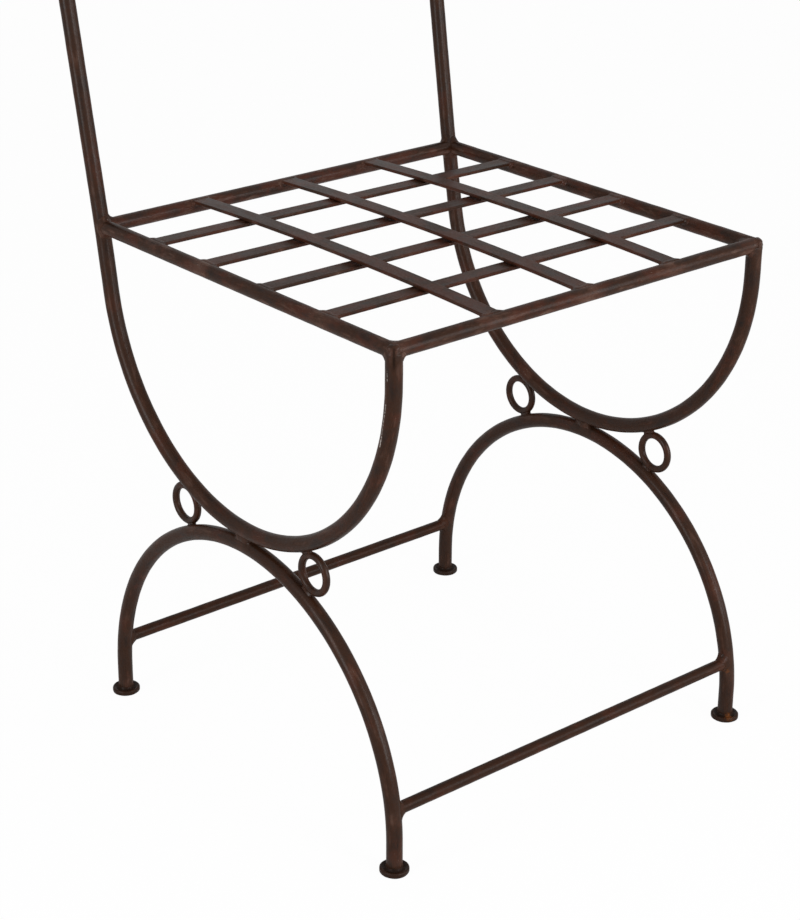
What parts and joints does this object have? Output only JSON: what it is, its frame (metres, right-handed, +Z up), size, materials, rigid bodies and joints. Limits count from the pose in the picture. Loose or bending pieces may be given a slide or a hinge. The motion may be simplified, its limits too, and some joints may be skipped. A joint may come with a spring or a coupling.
{
  "type": "wrought iron chair",
  "caption": "Wrought iron chair with half-circle bows welded on half-circle leg arches, small rings between them, a lattice seat of flat bars and a leaning hoop back.",
  "frame": {"origin": "centre of the bounding box on the floor, under the four foot plates", "axes": "+Z up, the chair faces -Y, +X to the right seen from in front of the chair"},
  "size_m": [0.426, 0.4933, 0.9059],
  "materials": {
    "side_bar_left": "worn satin paint, dark brown",
    "side_bar_right": "worn satin paint, dark brown",
    "leg_arch_left": "worn satin paint, dark brown",
    "leg_arch_right": "worn satin paint, dark brown",
    "ring_front_left": "worn satin paint, dark brown",
    "ring_back_left": "worn satin paint, dark brown",
    "ring_front_right": "worn satin paint, dark brown",
    "ring_back_right": "worn satin paint, dark brown",
    "seat_rail_front": "worn satin paint, dark brown",
    "seat_rail_back": "worn satin paint, dark brown",
    "seat_rail_left": "worn satin paint, dark brown",
    "seat_rail_right": "worn satin paint, dark brown",
    "cross_strap_1": "worn matt paint, dark brown",
    "cross_strap_2": "worn matt paint, dark brown",
    "cross_strap_3": "worn matt paint, dark brown",
    "cross_strap_4": "worn matt paint, dark brown",
    "long_strap_left": "worn matt paint, dark brown",
    "long_strap_middle": "worn matt paint, dark brown",
    "long_strap_right": "worn matt paint, dark brown",
    "stretcher_front": "worn matt paint, dark brown",
    "stretcher_back": "worn matt paint, dark brown",
    "foot_front_left": "matt paint with rust, reddish brown",
    "foot_front_right": "matt paint with rust, reddish brown",
    "foot_back_left": "matt paint with rust, reddish brown",
    "foot_back_right": "matt paint with rust, reddish brown",
    "back_hoop": "worn satin paint, dark brown",
    "back_rail": "worn satin paint, dark brown",
    "back_slat_left": "worn matt paint, dark brown",
    "back_slat_middle": "worn matt paint, dark brown",
    "back_slat_right": "worn matt paint, dark brown"
  },
  "bodies": {
    "root": {"side_bar_left": "side_bar_left", "side_bar_right": "side_bar_right", "leg_arch_left": "leg_arch_left", "leg_arch_right": "leg_arch_right", "ring_front_left": "ring_front_left", "ring_back_left": "ring_back_left", "ring_front_right": "ring_front_right", "ring_back_right": "ring_back_right", "seat_rail_front": "seat_rail_front", "seat_rail_back": "seat_rail_back", "seat_rail_left": "seat_rail_left", "seat_rail_right": "seat_rail_right", "cross_strap_1": "cross_strap_1", "cross_strap_2": "cross_strap_2", "cross_strap_3": "cross_strap_3", "cross_strap_4": "cross_strap_4", "long_strap_left": "long_strap_left", "long_strap_middle": "long_strap_middle", "long_strap_right": "long_strap_right", "stretcher_front": "stretcher_front", "stretcher_back": "stretcher_back", "foot_front_left": "foot_front_left", "foot_front_right": "foot_front_right", "foot_back_left": "foot_back_left", "foot_back_right": "foot_back_right", "back_hoop": "back_hoop", "back_rail": "back_rail", "back_slat_left": "back_slat_left", "back_slat_middle": "back_slat_middle", "back_slat_right": "back_slat_right"}
  },
  "joints": []
}
